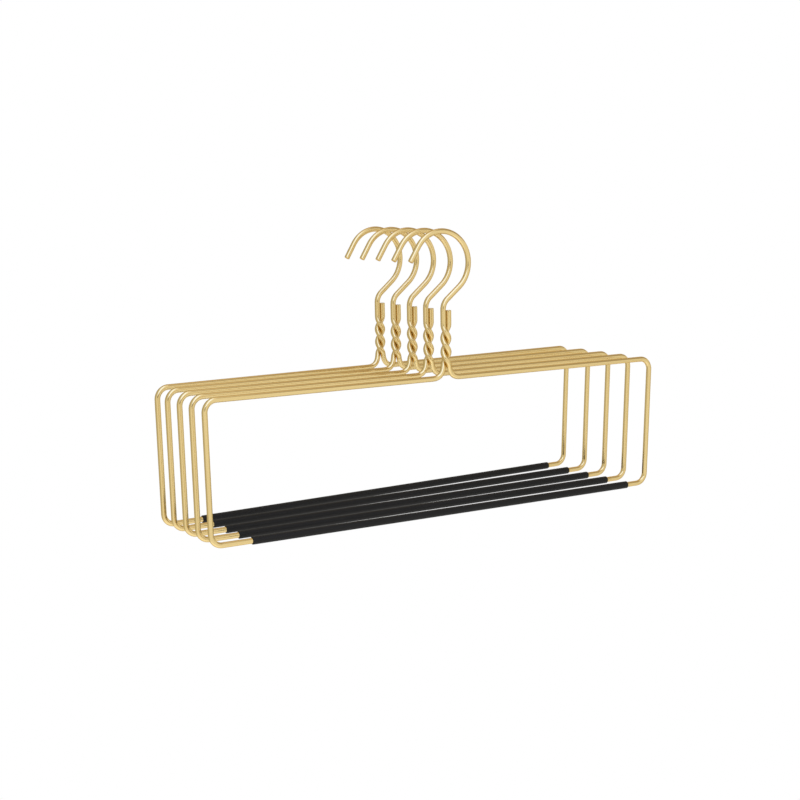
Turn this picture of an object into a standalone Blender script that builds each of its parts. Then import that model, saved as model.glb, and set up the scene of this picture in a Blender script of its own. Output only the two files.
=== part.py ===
"""A set of five bent-wire trouser hangers, each with a soft sleeve on its lower bar.

Metres, with +Z up. The origin is where the rail bears, on the underside of the middle
hanger's hook at its crown. +X runs along the bars, and the hooks open towards -X. +Y runs
along the rail, towards hanger 1 at the rear. The hangers fan out a little from each other.

Each wire is one length, bent cold: hook, twisted neck, right half of the frame, lower bar,
left half, and back up the neck to a short cut stub beside the stem.
"""
import math

import bpy
from mathutils import Vector

# Wire
wire_diameter = 0.0038
wire_end_bevel = 0.0004

# Rectangular frame, between the centres of the wire. Its sides lean in a little, going down
frame_width = 0.360
frame_height = 0.0945
top_corner_radius = 0.0080
bottom_corner_radius = 0.0076
left_lean = math.radians(0.6)
right_lean = math.radians(2.4)

# Twisted neck. The strands turn round each other and part into two legs. Above the twist the
# stub stands straight beside the stem
strand_gap = 0.0005
half_turn_length = 0.0094
half_turns = 3
ease_length = 0.0043
stub_length = 0.0094
leg_exit_angle = math.radians(38.7)
leg_rise = 0.0088
leg_reach = 0.0111
leg_handle = 0.0062
bar_handle = 0.0063

# Hook, with its stem above the twist. The bore is the round space in which the rail lies
rail_bore = 0.0396
hook_offset = 0.0027
stem_length = 0.0096
stem_bend_radius = 0.0093
slope_angle = math.radians(39.3)
tail_angle = math.radians(58)
tail_length = 0.0116

# Sleeve, a soft tube pushed over the lower bar before the wire is bent
sleeve_length = 0.310
sleeve_offset = 0.0044
sleeve_wall = 0.00045
sleeve_clearance = 0.0003
sleeve_end_round = 0.00025

# The row on its rail, from the rear to the front: how far each hanger has turned on the rail,
# and each gap between neighbours as a share of the usual spacing
hanger_spacing = 0.0218
gap_shares = (1.01, 1.01, 0.97, 1.0)
hanger_turns = [math.radians(turn) for turn in (2.0, 0.5, -0.3, -1.0, -1.7)]
nested_gap = 0.0004
spread_spacing = 0.060

# Facets
hook_step = math.radians(10)
corner_step = math.radians(15)
twist_step = math.radians(20)
leg_steps = 8
sleeve_sides = 16
round_steps = 2
wire_bevel_resolution = 3
merge_distance = 0.00001

# What follows from those sizes
wire_radius = wire_diameter / 2
strand_radius = (wire_diameter + strand_gap) / 2
turn_per_metre = math.pi / half_turn_length
turn_at_exit = half_turns * math.pi - leg_exit_angle
sleeve_bore_radius = wire_radius + sleeve_clearance


def depth_at_turn(turn):
    """How far below the top of the twist the strands have turned this much."""
    eased_turn = turn_per_metre * ease_length / 2
    if turn < eased_turn:
        return math.sqrt(2 * turn * ease_length / turn_per_metre)
    return turn / turn_per_metre + ease_length / 2


# Heights above the centre of the top bar
twist_top = leg_rise + depth_at_turn(turn_at_exit)
stub_top = twist_top + stub_length
stem_top = twist_top + stem_length


def sweep(centre, radius, start, end, step):
    """Points along an arc in the hanger's plane, angles from +X towards +Z."""
    count = max(2, math.ceil(abs(end - start) / step))
    angles = [start + (end - start) * i / count for i in range(count + 1)]
    return [centre + radius * Vector((math.cos(a), 0, math.sin(a))) for a in angles]


def strand_point(turn, side):
    """A point of one strand in the twist. The hook's strand has side 1, the stub's has -1."""
    height = twist_top - depth_at_turn(turn)
    across = -side * strand_radius * math.cos(turn)
    along_rail = -side * strand_radius * math.sin(turn)
    return Vector((across, along_rail, height))


def twist(side):
    """One strand of the twist, from its top down to where the leg leaves it."""
    count = math.ceil(turn_at_exit / twist_step)
    return [strand_point(turn_at_exit * i / count, side) for i in range(count + 1)]


def leg(side):
    """The leg that carries a strand out of the twist and into the top bar."""
    exit_point = strand_point(turn_at_exit, side)
    sideways = Vector((math.sin(turn_at_exit), -math.cos(turn_at_exit), 0)) * side * strand_radius
    heading = (sideways * turn_per_metre - Vector((0, 0, 1))).normalized()
    outwards = Vector((side, 0, 0))
    bar_start = outwards * leg_reach
    handle_a = exit_point + heading * leg_handle
    handle_b = bar_start - outwards * bar_handle
    points = []
    for i in range(1, leg_steps + 1):
        u = i / leg_steps
        v = 1 - u
        points.append(v**3 * exit_point + 3 * v * v * u * handle_a
                      + 3 * v * u * u * handle_b + u**3 * bar_start)
    return points


def side_corners(lean):
    """The top and bottom corners of the frame's right side, which leans in by this angle."""
    quarter = math.pi / 2
    drop = frame_height - top_corner_radius - bottom_corner_radius
    top_x = frame_width / 2 - top_corner_radius
    # The straight side touches both corners' arcs, so it fixes where the lower one lies
    change = top_corner_radius - bottom_corner_radius - drop * math.sin(lean)
    low_x = top_x + change / math.cos(lean)
    top_centre = Vector((top_x, 0, -top_corner_radius))
    low_centre = Vector((low_x, 0, bottom_corner_radius - frame_height))
    return (sweep(top_centre, top_corner_radius, quarter, -lean, corner_step)
            + sweep(low_centre, bottom_corner_radius, -lean, -quarter, corner_step))


def frame_loop():
    """The frame's four corners, clockwise from the top right."""
    mirrored = [Vector((-point.x, 0, point.z)) for point in side_corners(left_lean)]
    return side_corners(right_lean) + list(reversed(mirrored))


def hook():
    """The hook from its tip to the bend on the stem, and the height of its crown."""
    quarter = math.pi / 2
    hook_radius = rail_bore / 2 + wire_radius
    bend_centre = Vector((stem_bend_radius - strand_radius, 0, stem_top))
    bend = sweep(bend_centre, stem_bend_radius, quarter + slope_angle, math.pi, hook_step)
    # The straight slope touches the bend and the hook's back, so it fixes the hook's height
    run = (-hook_offset - bend[0].x) * math.sin(slope_angle)
    centre = Vector((-hook_offset, 0, bend[0].z + (hook_radius + run) / math.cos(slope_angle)))
    front = sweep(centre, hook_radius, quarter + tail_angle, quarter, hook_step)
    back = sweep(centre, hook_radius, quarter, slope_angle - quarter, hook_step)
    down_tail = Vector((-math.cos(tail_angle), 0, -math.sin(tail_angle)))
    tip = front[0] + down_tail * tail_length
    return [tip] + front + back[1:] + bend, centre.z + hook_radius


def wire_route():
    """The centre line of the whole wire, from the hook's tip to the stub's cut end."""
    hook_points, crown = hook()
    stub_end = Vector((strand_radius, 0, stub_top))
    points = hook_points + twist(1) + leg(1) + frame_loop()
    points += list(reversed(leg(-1))) + list(reversed(twist(-1))) + [stub_end]
    return points, crown - wire_radius


def material(name, colour, metallic, roughness):
    made = bpy.data.materials.new(name)
    made.use_nodes = True
    shader = made.node_tree.nodes["Principled BSDF"]
    shader.inputs["Base Color"].default_value = (*colour, 1)
    shader.inputs["Metallic"].default_value = metallic
    shader.inputs["Roughness"].default_value = roughness
    made.diffuse_color = (*colour, 1)
    return made


def make_wire_curve(points, seat_height):
    """The bent wire as a round bar, its origin on the hook's rail seat, its cut ends bevelled."""
    curve = bpy.data.curves.new("bent_wire", "CURVE")
    curve.dimensions = "3D"
    curve.bevel_depth = wire_radius
    curve.bevel_resolution = wire_bevel_resolution
    curve.use_fill_caps = True
    tip_end = (points[1] - points[0]).normalized() * wire_end_bevel
    stub_end = (points[-2] - points[-1]).normalized() * wire_end_bevel
    route = [points[0], points[0] + tip_end] + points[1:-1] + [points[-1] + stub_end, points[-1]]
    spline = curve.splines.new("POLY")
    spline.points.add(len(route) - 1)
    seat = Vector((-hook_offset, 0, seat_height))
    for point, place in zip(spline.points, route):
        point.co = (*(place - seat), 1)
    end_share = (wire_radius - wire_end_bevel) / wire_radius
    spline.points[0].radius = end_share
    spline.points[-1].radius = end_share
    spline.use_smooth = True
    return curve


def make_sleeve_mesh():
    """Half a section through the sleeve's wall, which a Screw modifier turns about Z."""
    half = sleeve_length / 2
    outer_radius = sleeve_bore_radius + sleeve_wall
    round_centre = (outer_radius - sleeve_end_round, half - sleeve_end_round)
    upper = []
    for i in range(round_steps + 1):
        angle = math.pi / 2 * (1 - i / round_steps)
        upper.append((round_centre[0] + sleeve_end_round * math.cos(angle),
                      round_centre[1] + sleeve_end_round * math.sin(angle)))
    lower = [(radius, -along) for radius, along in reversed(upper)]
    section = [(sleeve_bore_radius, half)] + upper + lower + [(sleeve_bore_radius, -half)]
    mesh = bpy.data.meshes.new("sleeve_section")
    corners = [(radius, 0, along) for radius, along in section]
    edges = [(i, (i + 1) % len(section)) for i in range(len(section))]
    mesh.from_pydata(corners, edges, [])
    return mesh


def add_object(name, data, parent, collection):
    made = bpy.data.objects.new(name, data)
    made.parent = parent
    collection.objects.link(made)
    return made


def turn_profile(piece):
    """Turns the section once about the object's own Z axis."""
    screw = piece.modifiers.new("turn", "SCREW")
    screw.axis = "Z"
    screw.angle = 2 * math.pi
    screw.steps = sleeve_sides
    screw.render_steps = sleeve_sides
    screw.use_merge_vertices = True
    screw.merge_threshold = merge_distance
    screw.use_smooth_shade = True


def least_strand_gap(samples=400):
    """The least gap between the two strands from the stub's top to the ends of the legs."""
    def centre_line(side):
        turns = [turn_at_exit * i / samples for i in range(samples + 1)]
        return [strand_point(turn, side) for turn in turns] + leg(side)
    closest = min((a - b).length for a in centre_line(1) for b in centre_line(-1))
    return closest - wire_diameter


def rail_places():
    """Where the hangers' seats lie along the rail. The middle one is at the origin."""
    places = [0.0]
    for share in gap_shares:
        places.append(places[-1] - hanger_spacing * share)
    middle = places[len(places) // 2]
    return [place - middle for place in places]


def closest_spacing(turn, next_turn):
    """How near two neighbours hang before their necks or the ends of their bars touch."""
    neck = 2 * strand_radius + wire_diameter
    fan = (frame_width / 2 + hook_offset) * math.sin(abs(turn - next_turn))
    bars = fan + 2 * (sleeve_bore_radius + sleeve_wall)
    return max(neck, bars) + nested_gap


def build():
    for old in list(bpy.data.objects):
        bpy.data.objects.remove(old, do_unlink=True)
    parts = bpy.data.collections.new("trouser_hanger_set")
    bpy.context.scene.collection.children.link(parts)
    gold = material("satin_gold_wire", (0.72, 0.52, 0.24), 1.0, 0.34)
    black = material("black_rubber_sleeve", (0.018, 0.018, 0.019), 0.0, 0.62)

    points, seat_height = wire_route()
    wire = make_wire_curve(points, seat_height)
    wire.materials.append(gold)
    sleeve = make_sleeve_mesh()
    sleeve.materials.append(black)
    lower_bar = Vector((hook_offset + sleeve_offset, 0, -seat_height - frame_height))

    places = rail_places()
    for number, (place, turn) in enumerate(zip(places, hanger_turns), start=1):
        seat = bpy.data.objects.new(f"hanger_{number}", None)
        seat.location = (0, place, 0)
        seat.rotation_euler = (0, 0, turn)
        parts.objects.link(seat)
        add_object(f"hanger_{number}_wire", wire, seat, parts)
        tube = add_object(f"hanger_{number}_sleeve", sleeve, seat, parts)
        tube.location = lower_bar
        tube.rotation_euler = (0, math.pi / 2, 0)
        turn_profile(tube)

    print(f"rail seat {seat_height:.5f} m above the top bar, {len(points)} points on the wire")
    print(f"least gap between the neck's strands {least_strand_gap():.5f} m")
    for i in range(len(places) - 1):
        gap = places[i] - places[i + 1]
        closest = closest_spacing(hanger_turns[i], hanger_turns[i + 1])
        print(f"hangers {i + 1} and {i + 2} slide {gap - closest:.4f} m together and "
              f"{spread_spacing - gap:.4f} m apart, from {gap:.4f} m")


build()
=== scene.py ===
# %% [markdown]
# # A set of wire trouser hangers
#
# Five hangers hang in a row. Each one is a single length of gold wire, bent cold into a hook, a
# twisted neck and an open frame, with a black rubber sleeve on the lower bar. This lesson dresses
# the finished construction: it makes the smooth wire and sleeve that the eye sees, gives them
# their metal and rubber, and sets up the light and the camera.
#
# The construction comes first, because everything below is placed from it.

import math

import bpy
from mathutils import Matrix, Quaternion, Vector


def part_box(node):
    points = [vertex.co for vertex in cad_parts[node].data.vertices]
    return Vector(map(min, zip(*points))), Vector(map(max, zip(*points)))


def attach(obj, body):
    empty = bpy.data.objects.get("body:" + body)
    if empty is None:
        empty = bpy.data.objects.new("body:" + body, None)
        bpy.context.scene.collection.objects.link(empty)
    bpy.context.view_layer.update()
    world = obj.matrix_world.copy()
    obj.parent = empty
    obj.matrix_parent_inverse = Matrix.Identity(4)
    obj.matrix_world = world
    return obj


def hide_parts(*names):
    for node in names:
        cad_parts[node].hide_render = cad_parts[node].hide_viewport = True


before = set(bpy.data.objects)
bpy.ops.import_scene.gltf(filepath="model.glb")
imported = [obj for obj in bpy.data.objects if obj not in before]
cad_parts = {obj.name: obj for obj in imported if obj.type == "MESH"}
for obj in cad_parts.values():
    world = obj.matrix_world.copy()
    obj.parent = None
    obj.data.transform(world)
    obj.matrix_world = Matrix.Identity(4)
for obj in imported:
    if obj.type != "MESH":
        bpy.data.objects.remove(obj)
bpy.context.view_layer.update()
hanger_numbers = range(1, 6)

# %% [markdown]
# ## Sizes that the construction gives
#
# The frame's width, the bars and the sleeve are read from the boxes of the middle hanger, whose
# rail seat is the origin. The construction is faceted, and a round bar with few facets measures a
# little thin, so the wire's own thickness is named, and so is the height of the frame.

# %% Read the sizes
wire_diameter = 0.0038
frame_height = 0.0945

wire_low, wire_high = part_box("hanger_3_wire")
sleeve_low, sleeve_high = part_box("hanger_3_sleeve")
wire_radius = wire_diameter / 2
frame_half_width = (wire_high.x - wire_low.x) / 2 - wire_radius
frame_middle = (wire_high.x + wire_low.x) / 2
lower_bar = (sleeve_high.z + sleeve_low.z) / 2
top_bar = lower_bar + frame_height
sleeve_radius = (sleeve_high.z - sleeve_low.z) / 2
sleeve_length = sleeve_high.x - sleeve_low.x
sleeve_middle = (sleeve_high.x + sleeve_low.x) / 2
print(f"wire {wire_diameter * 1000:.2f} mm, frame {frame_half_width * 2000:.1f} mm wide")
print(f"sleeve {sleeve_length * 1000:.1f} mm long, {sleeve_radius * 2000:.2f} mm thick")

# %% [markdown]
# ## The camera
#
# The hangers are seen from the front left, a little from above. The lens and the distance were
# found from the perspective of the five frames: how fast they shrink towards the back gives the
# distance, and their size in the picture then gives the lens. The camera looks at the middle of
# the middle frame, and a small shift puts that point where the picture has it.

# %% Set up the camera
camera_azimuth = math.radians(-32.43)
camera_elevation = math.radians(9.76)
camera_roll = math.radians(-0.986)
camera_distance = 1.0555
camera_lens = 65.91
picture_shift = (-0.01742, 0.04595)

camera_target = Vector((frame_middle, 0, (top_bar + lower_bar) / 2))
outward = Vector((math.sin(camera_azimuth) * math.cos(camera_elevation),
                  -math.cos(camera_azimuth) * math.cos(camera_elevation),
                  math.sin(camera_elevation)))
bpy.ops.object.camera_add(location=camera_target + outward * camera_distance)
camera = bpy.context.object
camera.name = "camera"
level_turn = (-outward).to_track_quat("-Z", "Y")
camera.rotation_euler = (level_turn @ Quaternion((0, 0, 1), camera_roll)).to_euler()
camera.data.lens = camera_lens
camera.data.shift_x, camera.data.shift_y = picture_shift
bpy.context.scene.camera = camera

# %% [markdown]
# ## The way the wire goes
#
# A bending machine knows a wire as straight runs and bends, and a Bezier curve can say the same.
# Each knot below has a place and two handles. Where a run is straight, the handle is left out
# and points at the next knot. Where the wire bends, the handle follows the bend: for a piece of
# a circle its length is 4/3 tan(angle / 4) radii.
#
# The drawing is made in the plane of one hanger, with the rail seat at zero.

# %% Knots and round bends
largest_piece = math.radians(45)
quarter = math.pi / 2


def place_in_plane(centre, radius, angle):
    """A point of a circle in the hanger's plane, the angle taken from +X towards +Z."""
    return centre + radius * Vector((math.cos(angle), 0, math.sin(angle)))


def bend(centre, radius, start, end):
    """Knots round one bend. The first has no handle behind it, and the last none ahead."""
    pieces = math.ceil(abs(end - start) / largest_piece)
    step = (end - start) / pieces
    handle = 4 / 3 * math.tan(step / 4) * radius
    knots = []
    for i in range(pieces + 1):
        angle = start + step * i
        here = place_in_plane(centre, radius, angle)
        along = Vector((-math.sin(angle), 0, math.cos(angle))) * handle
        behind = here - along if i > 0 else None
        ahead = here + along if i < pieces else None
        knots.append((here, behind, ahead))
    return knots


def reverse(knots):
    return [(here, ahead, behind) for here, behind, ahead in reversed(knots)]


# %% [markdown]
# ## The neck
#
# Both ends of the wire meet in the neck. They lie side by side, turn round each other three half
# turns, and part into two legs. The turning starts gently, over the first few millimetres, and
# then keeps an even pitch. A knot every two millimetres is enough, because each handle is a third
# of the step along the true direction of the strand.
#
# The strands press together in the twist, so only a hair's breadth is left between them there.
# Above it the cut strand springs back, and stands half a millimetre off the stem. That shows as
# a brown line between the two.

# %% The strands and the legs
strand_gap = 0.00001
stub_spring = 0.0005
half_turn_length = 0.0094
half_turns = 3
ease_length = 0.0043
leg_exit_angle = math.radians(38.7)
leg_rise = 0.0088
leg_reach = 0.0111
leg_handle = 0.0062
bar_handle = 0.0063
stub_length = 0.0094
knot_spacing = 0.002

strand_radius = (wire_diameter + strand_gap) / 2
turn_per_metre = math.pi / half_turn_length
turn_at_exit = half_turns * math.pi - leg_exit_angle
twist_length = turn_at_exit / turn_per_metre + ease_length / 2
twist_top = top_bar + leg_rise + twist_length
stub_top = twist_top + stub_length


def turn_at(depth):
    """How far the strands have turned at this depth below the top of the twist."""
    if depth < ease_length:
        return turn_per_metre * depth * depth / (2 * ease_length)
    return turn_per_metre * (depth - ease_length / 2)


def spring_at(depth, side):
    """How far the cut strand stands off, and how that changes for each metre of depth.

    The strand closes in along a smooth step, t * t * (3 - 2 * t), whose slope is 6 * t * (1 - t).
    """
    if side > 0:
        return 0, 0
    eased = min(depth / ease_length, 1)
    closed = eased * eased * (3 - 2 * eased)
    closing = 6 * eased * (1 - eased) / ease_length
    return stub_spring * (1 - closed), -stub_spring * closing


def on_strand(depth, side):
    turn = turn_at(depth)
    spring, _ = spring_at(depth, side)
    return Vector((frame_middle - side * strand_radius * math.cos(turn) + spring,
                   -side * strand_radius * math.sin(turn),
                   twist_top - depth))


def strand_direction(depth, side):
    """How the strand's place changes for each metre of depth."""
    turn = turn_at(depth)
    turning = strand_radius * turn_per_metre * min(depth / ease_length, 1)
    _, closing = spring_at(depth, side)
    return Vector((side * turning * math.sin(turn) + closing,
                   -side * turning * math.cos(turn),
                   -1))


def neck_strand(side):
    """One strand and its leg, from the top of the twist to the top bar."""
    steps = round(twist_length / knot_spacing)
    spacing = twist_length / steps
    knots = []
    for i in range(steps + 1):
        here = on_strand(spacing * i, side)
        handle = strand_direction(spacing * i, side) * spacing / 3
        behind = here - handle if i > 0 else None
        ahead = here + (handle if i < steps else handle.normalized() * leg_handle)
        knots.append((here, behind, ahead))
    outwards = Vector((side, 0, 0))
    bar_start = Vector((frame_middle, 0, top_bar)) + outwards * leg_reach
    knots.append((bar_start, bar_start - outwards * bar_handle, None))
    return knots


# %% [markdown]
# ## The hook
#
# The hook is measured from its crown down. It is one round arc that the rail lies in, and its
# front end runs straight into the tip. Behind, it runs into a straight slope, and the slope into
# the bend above the stem. The slope touches both arcs, which fixes the height of that bend.

# %% The hook, from its tip to the stem
rail_bore = 0.0396
stem_bend_radius = 0.0093
slope_angle = math.radians(39.3)
tail_angle = math.radians(58)
tail_length = 0.0116


def hook_knots():
    hook_radius = rail_bore / 2 + wire_radius
    centre = Vector((0, 0, wire_radius - hook_radius))
    arc = bend(centre, hook_radius, quarter + tail_angle, slope_angle - quarter)
    down_the_tail = Vector((-math.cos(tail_angle), 0, -math.sin(tail_angle)))
    tip = arc[0][0] + down_the_tail * tail_length

    bend_start = quarter + slope_angle
    bend_x = frame_middle - strand_radius + stem_bend_radius
    slope_foot_x = bend_x + stem_bend_radius * math.cos(bend_start)
    reach = hook_radius - slope_foot_x * math.sin(slope_angle)
    slope_foot_z = centre.z - reach / math.cos(slope_angle)
    bend_z = slope_foot_z - stem_bend_radius * math.sin(bend_start)
    stem = bend(Vector((bend_x, 0, bend_z)), stem_bend_radius, bend_start, math.pi)
    print(f"straight stem above the twist: {(bend_z - twist_top) * 1000:.1f} mm")
    return [(tip, None, None)] + arc + stem


# %% [markdown]
# ## The frame, and the whole route
#
# Four bends make the open frame. Its sides aren't quite upright: both lean in a little going
# down, the right one more than the left. So one side is worked out for any lean, as if it were
# the right one, and the left one is its mirror image. The route then runs from the hook's tip,
# down the first strand, round the frame and up the second strand to the stub that is cut off
# beside the stem.

# %% Join the route
top_corner_radius = 0.0080
bottom_corner_radius = 0.0076
left_lean = math.radians(0.6)
right_lean = math.radians(2.4)


def side_knots(lean):
    """The upper and lower bends of the right side, measured from the middle of the frame."""
    drop = frame_height - top_corner_radius - bottom_corner_radius
    change = top_corner_radius - bottom_corner_radius - drop * math.sin(lean)
    top_x = frame_half_width - top_corner_radius
    low_x = top_x + change / math.cos(lean)
    top_centre = Vector((top_x, 0, top_bar - top_corner_radius))
    low_centre = Vector((low_x, 0, lower_bar + bottom_corner_radius))
    return (bend(top_centre, top_corner_radius, quarter, -lean)
            + bend(low_centre, bottom_corner_radius, -lean, -quarter))


def put_on_frame(knots, mirror):
    """Shifts a side's knots to the frame's middle, on the left of it where mirror is -1."""
    def put(point):
        return None if point is None else Vector((frame_middle + mirror * point.x, 0, point.z))
    return [tuple(put(point) for point in knot) for knot in knots]


def frame_knots():
    right = put_on_frame(side_knots(right_lean), 1)
    left = put_on_frame(side_knots(left_lean), -1)
    return right + reverse(left)


stub_end = Vector((frame_middle + strand_radius + stub_spring, 0, stub_top))
route = (hook_knots() + neck_strand(1) + frame_knots()
         + reverse(neck_strand(-1)) + [(stub_end, None, None)])
print(len(route), "knots on the route")

# %% [markdown]
# The knots go into a Bezier curve. It is only a guide: it has no thickness, and it is removed
# once the wire has been bent along it. A handle of type vector points straight at its neighbour,
# which keeps the bars straight.

# %% Make the guide
guide_pieces = 16


def make_guide(knots):
    bpy.ops.object.select_all(action="DESELECT")
    bpy.ops.curve.primitive_bezier_curve_add(location=(0, 0, 0))
    guide = bpy.context.object
    guide.data.twist_mode = "MINIMUM"
    guide.data.resolution_u = guide_pieces
    spline = guide.data.splines[0]
    spline.bezier_points.add(len(knots) - len(spline.bezier_points))
    for point, (here, behind, ahead) in zip(spline.bezier_points, knots):
        point.handle_left_type = "VECTOR" if behind is None else "FREE"
        point.handle_right_type = "VECTOR" if ahead is None else "FREE"
        point.co = here
        point.handle_left = here if behind is None else behind
        point.handle_right = here if ahead is None else ahead
    return guide


guide = make_guide(route)
wire_length = guide.data.splines[0].calc_length()
print(f"one hanger takes {wire_length * 1000:.0f} mm of wire")

# %% [markdown]
# ## The wire, drawn straight and then bent
#
# A tube could be had in one step from the curve's own bevel. This wire is made the way the real
# one is: it is drawn straight, cut to length, and then bent. The gain is in the finish. Drawing
# leaves fine lines along a wire, and they follow every bend. So each point of the mesh remembers
# where it was on the straight wire, in an attribute called drawn, and the metal reads it later.
#
# The straight wire is a cylinder. Its two cut edges are bevelled, and its long edges are
# subdivided into short steps, because a mesh can only bend where it has points.

# %% Draw the straight wire
wire_sides = 24
ring_spacing = 0.0008
first_cuts = 35
cut_end_bevel = 0.00035
bevel_steps = 3
same_place = 0.00001
smooth_angle = math.radians(40)


def select_edges(piece, wanted):
    """Selects only the edges for whose two ends wanted is true, and stays in edit mode."""
    bpy.ops.object.mode_set(mode="EDIT")
    bpy.ops.mesh.select_mode(type="EDGE")
    bpy.ops.mesh.select_all(action="DESELECT")
    bpy.ops.object.mode_set(mode="OBJECT")
    places = piece.data.vertices
    for edge in piece.data.edges:
        a, b = (places[i].co for i in edge.vertices)
        edge.select = wanted(a, b)
    bpy.ops.object.mode_set(mode="EDIT")


def lies_across(a, b):
    return abs(a.x - b.x) < same_place


def add_straight_round(name, sides, radius, length, end_fill):
    """A round bar or tube along +X, from zero."""
    bpy.ops.object.select_all(action="DESELECT")
    bpy.ops.mesh.primitive_cylinder_add(vertices=sides, radius=radius, depth=length,
                                        end_fill_type=end_fill, location=(length / 2, 0, 0),
                                        rotation=(0, quarter, 0))
    bpy.ops.object.transform_apply(location=True, rotation=True, scale=True)
    piece = bpy.context.object
    piece.name = name
    return piece


def cut_into_rings(piece, cuts):
    """Subdivides every edge that runs along the piece and is longer than a bevel's."""
    select_edges(piece, lambda a, b: abs(a.x - b.x) > cut_end_bevel)
    bpy.ops.mesh.subdivide(number_cuts=cuts)
    bpy.ops.object.mode_set(mode="OBJECT")


def remember_drawn(piece):
    """Stores where each point is now, before the piece is bent or put in its place."""
    drawn = piece.data.attributes.new("drawn", "FLOAT_VECTOR", "POINT")
    for value, point in zip(drawn.data, piece.data.vertices):
        value.vector = point.co


wire = add_straight_round("bent_wire", wire_sides, wire_radius, wire_length, "NGON")
select_edges(wire, lies_across)
bpy.ops.mesh.bevel(offset=cut_end_bevel, segments=bevel_steps, affect="EDGES")
bpy.ops.object.mode_set(mode="OBJECT")
cut_into_rings(wire, first_cuts)
cut_into_rings(wire, round(wire_length / ring_spacing / (first_cuts + 1)) - 1)
remember_drawn(wire)
print(len(wire.data.vertices), "points on the straight wire")

# %% [markdown]
# A Curve modifier carries every ring along the guide, square to it, and turns it no more than it
# has to. After it is applied the guide has done its work.

# %% Bend the wire
bend_modifier = wire.modifiers.new("bend", "CURVE")
bend_modifier.object = guide
bend_modifier.deform_axis = "POS_X"
bpy.ops.object.modifier_apply(modifier=bend_modifier.name)
bpy.data.objects.remove(guide, do_unlink=True)
bpy.ops.object.shade_smooth_by_angle(angle=smooth_angle)
print("the bent wire measures", [round(size * 1000, 1) for size in wire.dimensions], "mm")

# %% [markdown]
# ## The sleeve
#
# The sleeve is a soft black tube. An open cylinder gets its wall from Solidify, inwards, so that
# the bore grips the wire. Soft tube is cut with a blade and its outer edge rolls over a little,
# so the outer end edges get a wide round bevel and the inner ones a small one.

# %% Make the sleeve
sleeve_sides = 40
sleeve_cuts = 77
sleeve_grip = 0.00003
outer_round = 0.0005
inner_round = 0.00008
round_steps = 4

sleeve_wall = sleeve_radius - wire_radius - sleeve_grip
sleeve = add_straight_round("rubber_sleeve", sleeve_sides, sleeve_radius, sleeve_length,
                            "NOTHING")
cut_into_rings(sleeve, sleeve_cuts)
wall = sleeve.modifiers.new("wall", "SOLIDIFY")
wall.thickness = sleeve_wall
wall.offset = -1
bpy.ops.object.modifier_apply(modifier=wall.name)


def at_an_end(a, b, outside):
    """Whether an edge lies across an end of the sleeve, on its outside or round its bore."""
    middle_of_wall = sleeve_radius - sleeve_wall / 2
    on_that_side = all((math.hypot(point.y, point.z) > middle_of_wall) == outside
                       for point in (a, b))
    at_end = a.x < same_place or a.x > sleeve_length - same_place
    return lies_across(a, b) and at_end and on_that_side


# The bore's edge comes first, because the wide round leaves new edges on the wall's inner half.
for outside, offset in ((False, inner_round), (True, outer_round)):
    select_edges(sleeve, lambda a, b: at_an_end(a, b, outside))
    bpy.ops.mesh.bevel(offset=offset, segments=round_steps, affect="EDGES")
    bpy.ops.object.mode_set(mode="OBJECT")
remember_drawn(sleeve)
sleeve.data.transform(Matrix.Translation((sleeve_middle - sleeve_length / 2, 0, lower_bar)))
bpy.ops.object.shade_smooth_by_angle(angle=smooth_angle)
print(len(sleeve.data.polygons), "faces on the sleeve")

# %% [markdown]
# ## Two finishes
#
# Both finishes need the same thing: marks that run along the wire or the tube and follow every
# bend. A node group reads the attribute drawn, squeezes it along the length and gives a noise
# between 0 and 1. It is built once and used in both materials, each time with its own sizes.

# %% Lengthwise marks, as a node group
def make_marks_group():
    group = bpy.data.node_groups.new("lengthwise_marks", "ShaderNodeTree")
    for name in ("Marks Across", "Marks Along", "Detail"):
        group.interface.new_socket(name, in_out="INPUT", socket_type="NodeSocketFloat")
    group.interface.new_socket("Mask", in_out="OUTPUT", socket_type="NodeSocketFloat")
    nodes, links = group.nodes, group.links
    given = nodes.new("NodeGroupInput")
    result = nodes.new("NodeGroupOutput")
    drawn = nodes.new("ShaderNodeAttribute")
    drawn.attribute_name = "drawn"
    sizes = nodes.new("ShaderNodeCombineXYZ")
    links.new(given.outputs["Marks Along"], sizes.inputs["X"])
    links.new(given.outputs["Marks Across"], sizes.inputs["Y"])
    links.new(given.outputs["Marks Across"], sizes.inputs["Z"])
    stretch = nodes.new("ShaderNodeVectorMath")
    stretch.operation = "MULTIPLY"
    links.new(drawn.outputs["Vector"], stretch.inputs[0])
    links.new(sizes.outputs["Vector"], stretch.inputs[1])
    noise = nodes.new("ShaderNodeTexNoise")
    noise.inputs["Scale"].default_value = 1
    links.new(stretch.outputs["Vector"], noise.inputs["Vector"])
    links.new(given.outputs["Detail"], noise.inputs["Detail"])
    links.new(noise.outputs["Fac"], result.inputs["Mask"])
    return group


lengthwise_marks = make_marks_group()


def add_marks(tree, across, along, detail):
    """The group in a material, with so many marks to a metre across and along the piece."""
    marks = tree.nodes.new("ShaderNodeGroup")
    marks.node_tree = lengthwise_marks
    marks.inputs["Marks Across"].default_value = across
    marks.inputs["Marks Along"].default_value = along
    marks.inputs["Detail"].default_value = detail
    return marks.outputs["Mask"]


def add_range(tree, mask, low, high):
    """Turns a mask into a plain number between low and high."""
    spread = tree.nodes.new("ShaderNodeMapRange")
    spread.inputs["To Min"].default_value = low
    spread.inputs["To Max"].default_value = high
    tree.links.new(mask, spread.inputs["Value"])
    return spread.outputs["Result"]


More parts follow.
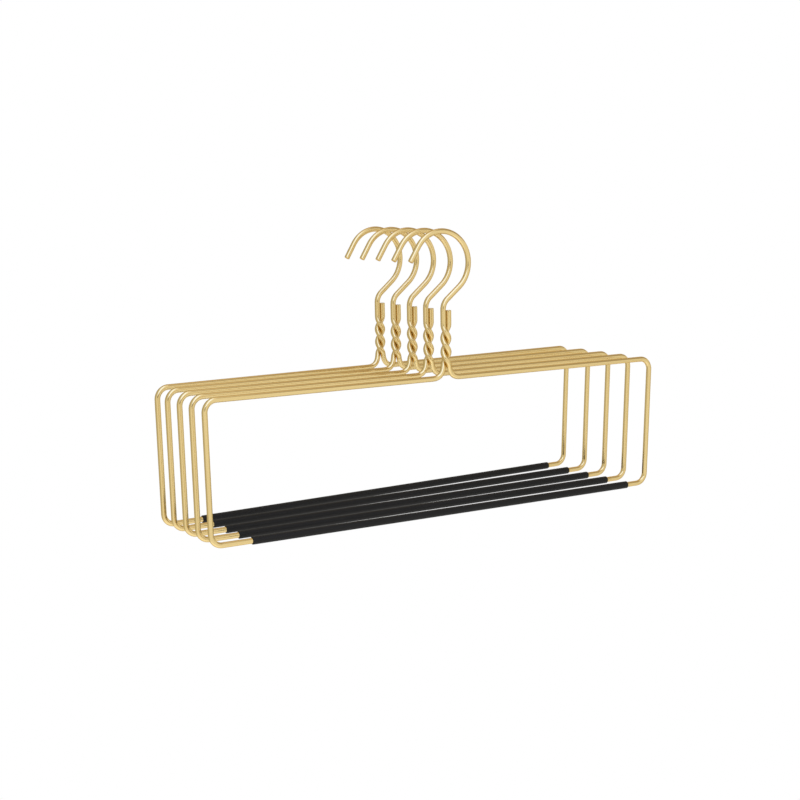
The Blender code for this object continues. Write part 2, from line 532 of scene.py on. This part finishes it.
def add_mix(tree, mask, first, second):
    """Mixes two colours by a mask."""
    mix = tree.nodes.new("ShaderNodeMix")
    mix.data_type = "RGBA"
    mix.inputs["A"].default_value = (*first, 1)
    mix.inputs["B"].default_value = (*second, 1)
    tree.links.new(mask, mix.inputs["Factor"])
    return mix.outputs["Result"]


def add_bump(tree, mask, strength, depth):
    """Turns a mask into a shallow relief."""
    bump = tree.nodes.new("ShaderNodeBump")
    bump.inputs["Strength"].default_value = strength
    bump.inputs["Distance"].default_value = depth
    tree.links.new(mask, bump.inputs["Height"])
    return bump.outputs["Normal"]


# %% [markdown]
# ## Satin gold
#
# The wire is plated steel. A metal takes its colour from what it reflects, so the base colour is
# the gold itself and the roughness decides how wide the highlights are. Seen along its edge the
# plating turns a little browner, which is the specular tint of a metal. Fine drawing lines show
# in the roughness and as a very shallow relief. The plating is sealed with a thin clear lacquer,
# which is the coat. It lays a narrower, whiter highlight over the soft one.

# %% The gold
gold_light = (0.795, 0.61, 0.28)
gold_deep = (0.755, 0.57, 0.25)
gold_edge_tint = (0.61, 0.41, 0.14)
gold_roughness = (0.15, 0.21)
gold_coat = 0.26
gold_coat_roughness = 0.07
draw_lines_across = 2600
draw_lines_along = 14
draw_line_detail = 3
draw_line_depth = 0.0000015
draw_line_strength = 0.3
tone_across = 160
tone_along = 30
tone_detail = 2


def make_gold():
    gold = bpy.data.materials.new("satin_gold")
    gold.use_nodes = True
    tree = gold.node_tree
    shader = tree.nodes["Principled BSDF"]
    lines = add_marks(tree, draw_lines_across, draw_lines_along, draw_line_detail)
    tone = add_marks(tree, tone_across, tone_along, tone_detail)
    tree.links.new(add_mix(tree, tone, gold_deep, gold_light), shader.inputs["Base Color"])
    tree.links.new(add_range(tree, lines, *gold_roughness), shader.inputs["Roughness"])
    tree.links.new(add_bump(tree, lines, draw_line_strength, draw_line_depth),
                   shader.inputs["Normal"])
    shader.inputs["Metallic"].default_value = 1
    shader.inputs["Specular Tint"].default_value = (*gold_edge_tint, 1)
    shader.inputs["Coat Weight"].default_value = gold_coat
    shader.inputs["Coat Roughness"].default_value = gold_coat_roughness
    return gold


gold = make_gold()

# %% [markdown]
# ## Black rubber
#
# The sleeve is nearly black, with a soft sheen. Faint paler streaks run along it, in its colour,
# its roughness and a shallow relief.

# %% The rubber
rubber_dark = (0.0052, 0.0048, 0.0040)
rubber_streak = (0.0140, 0.0132, 0.0118)
rubber_gloss = 0.2
rubber_roughness = (0.42, 0.6)
streaks_across = 1400
streaks_along = 12
streak_detail = 4
streak_depth = 0.00004
streak_strength = 0.4


def make_rubber():
    rubber = bpy.data.materials.new("black_rubber")
    rubber.use_nodes = True
    tree = rubber.node_tree
    shader = tree.nodes["Principled BSDF"]
    streaks = add_marks(tree, streaks_across, streaks_along, streak_detail)
    tree.links.new(add_mix(tree, streaks, rubber_dark, rubber_streak),
                   shader.inputs["Base Color"])
    tree.links.new(add_range(tree, streaks, *rubber_roughness), shader.inputs["Roughness"])
    tree.links.new(add_bump(tree, streaks, streak_strength, streak_depth),
                   shader.inputs["Normal"])
    shader.inputs["Specular IOR Level"].default_value = rubber_gloss
    return rubber


rubber = make_rubber()

# %% [markdown]
# ## Five hangers from one
#
# The wire and the sleeve have been made once, in the plane of a hanger whose rail seat is at
# zero. Each hanger of the row gets a copy. Where it hangs and how far it has turned on the rail
# is read from the construction's own sleeve: from the middles of its two ends.
#
# The copies are shifted along the drawn wire, so that no two hangers carry the same marks.

# %% Hang the row
wire.data.materials.append(gold)
sleeve.data.materials.append(rubber)


def middle_of(places):
    return sum(places, Vector()) / len(places)


def find_place(number):
    """Where a hanger's rail seat is, and its turn about the upright through it."""
    places = [point.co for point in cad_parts[f"hanger_{number}_sleeve"].data.vertices]
    left = middle_of([place for place in places if place.x < sleeve_middle])
    right = middle_of([place for place in places if place.x > sleeve_middle])
    along = right - left
    seat = Vector((0, left.y - left.x * along.y / along.x, 0))
    return seat, math.atan2(along.y, along.x)


def hang(pattern, number, seat, turn):
    """A copy of one piece on one hanger, with its place in its mesh."""
    piece = pattern.copy()
    piece.data = pattern.data.copy()
    piece.name = f"{pattern.name}_{number}"
    bpy.context.scene.collection.objects.link(piece)
    for value in piece.data.attributes["drawn"].data:
        value.vector.x += number * wire_length
    piece.data.transform(Matrix.Translation(seat) @ Matrix.Rotation(turn, 4, "Z"))
    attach(piece, f"hanger_{number}")
    return piece


for number in hanger_numbers:
    seat, turn = find_place(number)
    hung_wire = hang(wire, number, seat, turn)
    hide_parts(f"hanger_{number}_wire")
    hung_sleeve = hang(sleeve, number, seat, turn)
    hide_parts(f"hanger_{number}_sleeve")
    print(f"hanger {number}: {seat.y * 1000:.1f} mm along the rail,",
          f"turned {math.degrees(turn):.2f} degrees")

for pattern in (wire, sleeve):
    bpy.data.objects.remove(pattern, do_unlink=True)

# %% [markdown]
# ## Floor, room and light
#
# The hangers hang free, so the floor lies far below them, as it does under a closet rail. The
# floor and the world are plain white, for the camera and for the reflections in the metal,
# because the picture has a white ground.

# %% Floor and white ground
floor_drop = 1.90
floor_size = 8.0
floor_brightness = 0.8
floor_roughness = 0.9


def grey(level):
    return (level, level, level)


def add_math(tree, operation, first, second):
    """One step of arithmetic on two outputs."""
    step = tree.nodes.new("ShaderNodeMath")
    step.operation = operation
    tree.links.new(first, step.inputs[0])
    tree.links.new(second, step.inputs[1])
    return step.outputs["Value"]


def make_floor_material():
    """Pale paper that is plain white wherever the camera or a reflection sees it."""
    paper = bpy.data.materials.new("pale_floor")
    paper.use_nodes = True
    tree = paper.node_tree
    shader = tree.nodes["Principled BSDF"]
    shader.inputs["Base Color"].default_value = (*grey(floor_brightness), 1)
    shader.inputs["Roughness"].default_value = floor_roughness
    white = tree.nodes.new("ShaderNodeEmission")
    rays = tree.nodes.new("ShaderNodeLightPath").outputs
    mirrored = add_math(tree, "MAXIMUM", rays["Is Glossy Ray"], rays["Is Transmission Ray"])
    seen = add_math(tree, "MAXIMUM", rays["Is Camera Ray"], mirrored)
    choose = tree.nodes.new("ShaderNodeMixShader")
    tree.links.new(seen, choose.inputs["Fac"])
    tree.links.new(shader.outputs["BSDF"], choose.inputs[1])
    tree.links.new(white.outputs["Emission"], choose.inputs[2])
    tree.links.new(choose.outputs["Shader"], tree.nodes["Material Output"].inputs["Surface"])
    return paper


bpy.ops.object.select_all(action="DESELECT")
bpy.ops.mesh.primitive_plane_add(size=floor_size, location=(0, 0, wire_low.z - floor_drop))
floor = bpy.context.object
floor.name = "floor"
floor.data.materials.append(make_floor_material())

world = bpy.data.worlds.new("white_room")
world.use_nodes = True
bpy.context.scene.world = world
background = world.node_tree.nodes["Background"]
background.inputs["Color"].default_value = (1, 1, 1, 1)
background.inputs["Strength"].default_value = 1

# %% [markdown]
# ## Panels for the metal to reflect
#
# What the metal sees matters more than what the camera sees: a thin wire shows the whole room in
# its few millimetres, and in an all white room it would look flat. So panels stand round the
# hangers, as a photographer sets them up, and the camera doesn't see them. Every panel's glow
# fades out towards its edges, so no reflection has a hard rim.
#
# - Grey panels to the left, to the right and behind darken the edges of every wire. The two that
#   stand higher, behind and to the right, are warm, so the lines between the bars turn brown.
# - A cool soft box above the camera is the narrow highlight along the slopes of the hooks.
# - A pale reflector low in front lifts the undersides.
# - Where the camera itself stands, a small dark card gives the short dark streak on the back of
#   each hook.

# %% Soft-edged panels
panel_distance = 1.7
middle_of_glow = 1 / 16


def direction_from_camera_side(turn, elevation):
    """A direction away from the hangers, turned right from the camera's by turn degrees."""
    azimuth = camera_azimuth + math.radians(turn)
    rise = math.radians(elevation)
    level = Vector((math.sin(azimuth), -math.cos(azimuth), 0))
    return level * math.cos(rise) + Vector((0, 0, math.sin(rise)))


def make_glow(name, colour, softness):
    """An even glow that fades to nothing at the panel's edges, more of it the softer it is.

    The fade follows u * (1 - u) * v * (1 - v), which is 1/16 in the middle and 0 at the edges.
    """
    glow = bpy.data.materials.new(name)
    glow.use_nodes = True
    tree = glow.node_tree
    tree.nodes.remove(tree.nodes["Principled BSDF"])
    across = tree.nodes.new("ShaderNodeTexCoord")
    back = tree.nodes.new("ShaderNodeVectorMath")
    back.operation = "SUBTRACT"
    back.inputs[0].default_value = (1, 1, 1)
    hump = tree.nodes.new("ShaderNodeVectorMath")
    hump.operation = "MULTIPLY"
    split = tree.nodes.new("ShaderNodeSeparateXYZ")
    fade = tree.nodes.new("ShaderNodeMapRange")
    fade.interpolation_type = "SMOOTHSTEP"
    fade.inputs["From Max"].default_value = softness * middle_of_glow
    clear = tree.nodes.new("ShaderNodeBsdfTransparent")
    emission = tree.nodes.new("ShaderNodeEmission")
    emission.inputs["Color"].default_value = (*colour, 1)
    mix = tree.nodes.new("ShaderNodeMixShader")
    tree.links.new(across.outputs["UV"], back.inputs[1])
    tree.links.new(across.outputs["UV"], hump.inputs[0])
    tree.links.new(back.outputs["Vector"], hump.inputs[1])
    tree.links.new(hump.outputs["Vector"], split.inputs["Vector"])
    both = add_math(tree, "MULTIPLY", split.outputs["X"], split.outputs["Y"])
    tree.links.new(both, fade.inputs["Value"])
    tree.links.new(fade.outputs["Result"], mix.inputs["Fac"])
    tree.links.new(clear.outputs["BSDF"], mix.inputs[1])
    tree.links.new(emission.outputs["Emission"], mix.inputs[2])
    tree.links.new(mix.outputs["Shader"], tree.nodes["Material Output"].inputs["Surface"])
    return glow


def add_panel(name, turn, elevation, width, height, colour, softness=0.6,
              distance=panel_distance):
    """A flat panel that faces the hangers, unseen by the camera. Its turn is in degrees."""
    direction = direction_from_camera_side(turn, elevation)
    bpy.ops.object.select_all(action="DESELECT")
    bpy.ops.mesh.primitive_plane_add(size=1, location=camera_target + direction * distance)
    panel = bpy.context.object
    panel.name = name
    panel.rotation_euler = direction.to_track_quat("Z", "Y").to_euler()
    panel.scale = (width, height, 1)
    panel.visible_camera = False
    panel.data.materials.append(make_glow(name, colour, softness))


add_panel("left_panel", -87, 10, 5.2, 6.0, (0.60, 0.59, 0.51), 1.0)
add_panel("left_back_panel", -150, 30, 3.0, 3.6, (0.50, 0.49, 0.42))
add_panel("right_panel", 108, -12, 2.8, 1.8, (0.78, 0.76, 0.68))
add_panel("upper_right_panel", 112, 45, 3.0, 1.9, (0.51, 0.45, 0.37))
add_panel("back_panel", 180, 55, 2.6, 2.2, (0.80, 0.68, 0.54))
add_panel("key_panel", 0, 49, 1.1, 2.5, (1.34, 1.66, 2.80), 0.4)
add_panel("lower_panel", 0, -62, 3.0, 1.8, grey(1.30), 1.0)
add_panel("camera_card", 0, math.degrees(camera_elevation), 0.65, 0.30, grey(0.08), 0.8,
          distance=camera_distance)

# %% [markdown]
# ## Finish
#
# The colours are shown as they are written.

# %% Finish
bpy.context.scene.view_settings.view_transform = "Standard"
